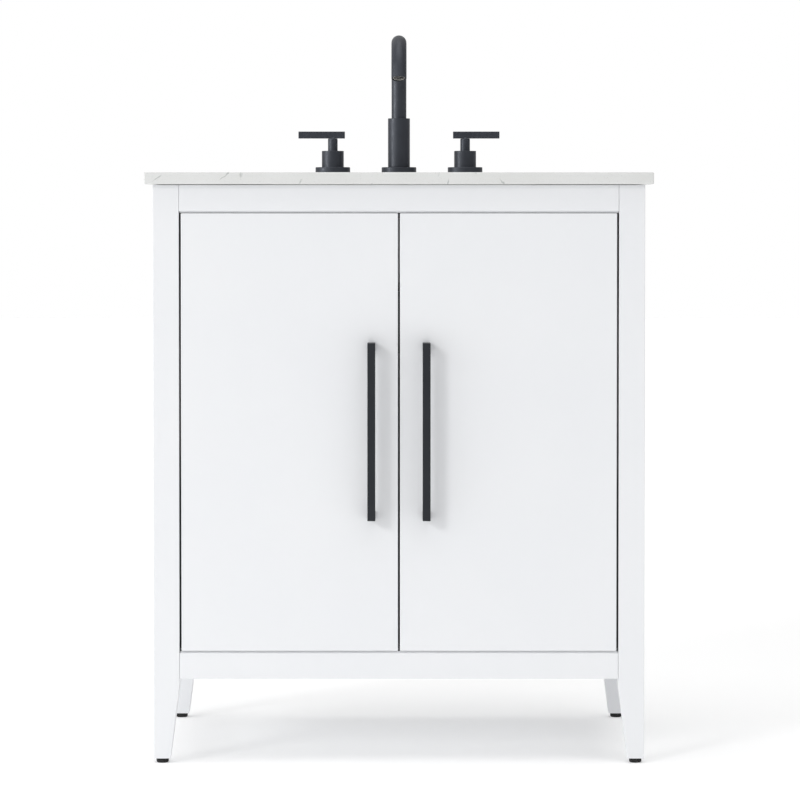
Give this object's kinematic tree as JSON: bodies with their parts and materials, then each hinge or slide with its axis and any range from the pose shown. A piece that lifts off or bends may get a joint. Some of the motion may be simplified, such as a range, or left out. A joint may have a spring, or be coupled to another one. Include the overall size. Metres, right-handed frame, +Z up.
{
  "type": "bathroom vanity cabinet",
  "caption": "Free-standing vanity cabinet on tapered legs, with inset doors, bar pulls, a stone top over an undermount basin, and a three-hole gooseneck tap.",
  "frame": {"origin": "on the floor under the feet, at the middle of the whole object's width and depth, pulls included", "axes": "+X to the right as seen from the front, +Y towards the wall, +Z up; the doors face -Y"},
  "size_m": [0.762, 0.503, 1.111],
  "materials": {
    "white_lacquer": "satin white lacquer",
    "quartz": "polished engineered stone with faint grey veins",
    "glazed_white": "gloss glaze",
    "matt_black": "matt black coating",
    "black_rubber": "matt",
    "nickelled_steel": "nickel plate",
    "plain_brass": "machined"
  },
  "bodies": {
    "cabinet": {"leg_front_left": "white_lacquer", "leg_front_right": "white_lacquer", "leg_back_left": "white_lacquer", "leg_back_right": "white_lacquer", "rail_front_top": "white_lacquer", "rail_front_bottom": "white_lacquer", "rail_back_top": "white_lacquer", "rail_back_bottom": "white_lacquer", "side_rail_top_left": "white_lacquer", "side_rail_top_right": "white_lacquer", "side_rail_bottom_left": "white_lacquer", "side_rail_bottom_right": "white_lacquer", "side_panel_left": "white_lacquer", "side_panel_right": "white_lacquer", "back_panel": "white_lacquer", "floor_panel": "white_lacquer", "door_stop": "white_lacquer", "hinge_strip_left": "white_lacquer", "hinge_strip_right": "white_lacquer", "countertop": "quartz", "basin": "glazed_white", "drain_body": "matt_black", "drain_gasket": "black_rubber", "drain_nut": "matt_black", "spout_flange": "matt_black", "spout_sleeve": "matt_black", "spout_nut": "plain_brass", "valve_flange_left": "matt_black", "valve_flange_right": "matt_black", "valve_body_left": "plain_brass", "valve_body_right": "plain_brass", "valve_nut_left": "plain_brass", "valve_nut_right": "plain_brass", "hinge_arm_top_left": "nickelled_steel", "hinge_arm_top_right": "nickelled_steel", "hinge_arm_bottom_left": "nickelled_steel", "hinge_arm_bottom_right": "nickelled_steel"},
    "door_left_leaf": {"door_left": "white_lacquer", "pull_left": "matt_black", "hinge_cup_top_left": "nickelled_steel", "hinge_cup_bottom_left": "nickelled_steel"},
    "door_right_leaf": {"door_right": "white_lacquer", "pull_right": "matt_black", "hinge_cup_top_right": "nickelled_steel", "hinge_cup_bottom_right": "nickelled_steel"},
    "links_left": {"hinge_link_top_left": "nickelled_steel", "hinge_link_bottom_left": "nickelled_steel"},
    "links_right": {"hinge_link_top_right": "nickelled_steel", "hinge_link_bottom_right": "nickelled_steel"},
    "handle_left": {"handle_hub_left": "matt_black", "handle_lever_left": "matt_black"},
    "handle_right": {"handle_hub_right": "matt_black", "handle_lever_right": "matt_black"},
    "spout": {"spout_tube": "matt_black", "aerator": "nickelled_steel"},
    "stopper": {"drain_stopper": "matt_black"},
    "front_left_foot": {"foot_front_left": "black_rubber"},
    "front_right_foot": {"foot_front_right": "black_rubber"},
    "back_left_foot": {"foot_back_left": "black_rubber"},
    "back_right_foot": {"foot_back_right": "black_rubber"}
  },
  "joints": [
    {"name": "door_left_hinge", "type": "hinge", "parent": "cabinet", "child": "door_left_leaf", "pos_m": [-0.3285, -0.2185, 0.4986], "axis": [0, 0, -1], "range_deg": [0, 100]},
    {"name": "door_right_hinge", "type": "hinge", "parent": "cabinet", "child": "door_right_leaf", "pos_m": [0.3285, -0.2185, 0.4986], "axis": [0, 0, 1], "range_deg": [0, 100]},
    {"name": "links_left_pivot", "type": "hinge", "parent": "door_left_leaf", "child": "links_left", "pos_m": [-0.306, -0.2085, 0.4986], "axis": [0, 0, 1], "range_deg": [0, 75]},
    {"name": "links_right_pivot", "type": "hinge", "parent": "door_right_leaf", "child": "links_right", "pos_m": [0.306, -0.2085, 0.4986], "axis": [0, 0, -1], "range_deg": [0, 75]},
    {"name": "handle_left_turn", "type": "hinge", "parent": "cabinet", "child": "handle_left", "pos_m": [-0.107, 0.1815, 0.93], "axis": [0, 0, 1], "range_deg": [0, 90]},
    {"name": "handle_right_turn", "type": "hinge", "parent": "cabinet", "child": "handle_right", "pos_m": [0.107, 0.1815, 0.93], "axis": [0, 0, -1], "range_deg": [0, 90]},
    {"name": "spout_swivel", "type": "hinge", "parent": "cabinet", "child": "spout", "pos_m": [0, 0.1815, 0.98], "axis": [0, 0, 1], "range_deg": [-60, 60]},
    {"name": "stopper_lift", "type": "slide", "parent": "cabinet", "child": "stopper", "axis": [0, 0, 1], "range_m": [0, 0.01]},
    {"name": "foot_front_left_adjust", "type": "slide", "parent": "cabinet", "child": "front_left_foot", "axis": [0, 0, -1], "range_m": [0, 0.008]},
    {"name": "foot_front_right_adjust", "type": "slide", "parent": "cabinet", "child": "front_right_foot", "axis": [0, 0, -1], "range_m": [0, 0.008]},
    {"name": "foot_back_left_adjust", "type": "slide", "parent": "cabinet", "child": "back_left_foot", "axis": [0, 0, -1], "range_m": [0, 0.008]},
    {"name": "foot_back_right_adjust", "type": "slide", "parent": "cabinet", "child": "back_right_foot", "axis": [0, 0, -1], "range_m": [0, 0.008]}
  ],
  "couplings": [
    {"joint": "links_left_pivot", "follows": "door_left_hinge", "ratio": 0.74},
    {"joint": "links_right_pivot", "follows": "door_right_hinge", "ratio": 0.74}
  ]
}
